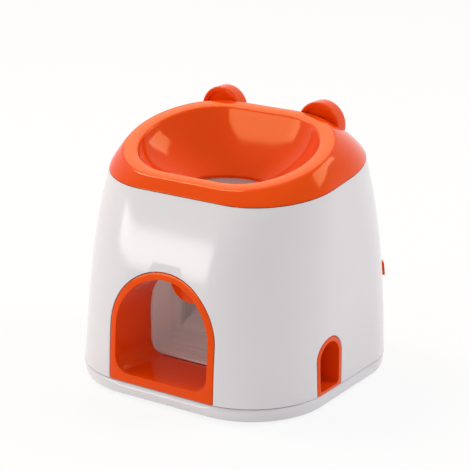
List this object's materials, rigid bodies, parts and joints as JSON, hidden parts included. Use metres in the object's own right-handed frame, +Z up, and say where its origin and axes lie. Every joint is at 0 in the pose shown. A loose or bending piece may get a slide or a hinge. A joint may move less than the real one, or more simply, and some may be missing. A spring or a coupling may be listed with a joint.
{
  "type": "dog ball return and treat dispenser",
  "caption": "Gravity-run dog toy: a ball dropped in the top funnel rolls out of the front arch, swings a flap and turns a drum that drops treats at the side.",
  "frame": {"origin": "on the floor, under the middle of the object's bounding box", "axes": "+Z up, -Y to the front where the ball comes out, +X to the side where the treats come out"},
  "size_m": [0.202, 0.1978, 0.2055],
  "materials": {
    "white_shell": "glossy moulded ABS",
    "orange_shell": "glossy moulded ABS",
    "inner_white": "satin moulded ABS",
    "acetal": "natural moulded acetal",
    "rubber_pad": "moulded elastomer",
    "steel_rod": "drawn steel",
    "screw_zinc": "bright zinc plate"
  },
  "bodies": {
    "casing": {"base_tray": "white_shell", "body_shell": "white_shell", "top_cap": "orange_shell", "ball_outlet": "orange_shell", "treat_outlet": "orange_shell", "ball_ramp": "inner_white", "treat_hopper": "inner_white", "treat_chute": "orange_shell", "drum_housing": "inner_white", "housing_cover": "inner_white", "left_bush": "acetal", "right_bush": "acetal", "rubber_feet": "rubber_pad", "door_pin": "steel_rod", "return_spring": "steel_rod", "casing_screws": "screw_zinc", "outlet_screws": "screw_zinc", "ramp_screws": "screw_zinc", "housing_screws": "screw_zinc", "chute_screws": "screw_zinc", "treat_outlet_screws": "screw_zinc", "cap_screws": "screw_zinc", "hopper_screws": "screw_zinc", "cover_screws": "screw_zinc"},
    "trigger": {"trigger_flap": "orange_shell", "flap_shaft": "steel_rod", "flap_clips": "steel_rod", "sector_gear": "acetal"},
    "drum": {"metering_drum": "orange_shell", "drum_shaft": "steel_rod", "drum_clips": "steel_rod", "drum_pinion": "acetal"},
    "door": {"treat_door": "orange_shell"}
  },
  "joints": [
    {"name": "trigger_swing", "type": "hinge", "parent": "casing", "child": "trigger", "pos_m": [0, -0.0599, 0.102], "axis": [-1, 0, 0], "range_deg": [0, 62], "stiffness_Nm_per_rad": 0.02, "springref_deg": -20.05},
    {"name": "drum_turn", "type": "hinge", "parent": "casing", "child": "drum", "pos_m": [0.065, -0.00768, 0.05971], "axis": [-1, 0, 0], "range_deg": [-124, 0]},
    {"name": "door_swing", "type": "hinge", "parent": "casing", "child": "door", "pos_m": [0.012, 0.0963, 0.11], "axis": [0, 0, 1], "range_deg": [0, 100]}
  ],
  "couplings": [
    {"joint": "drum_turn", "follows": "trigger_swing", "ratio": -2}
  ]
}
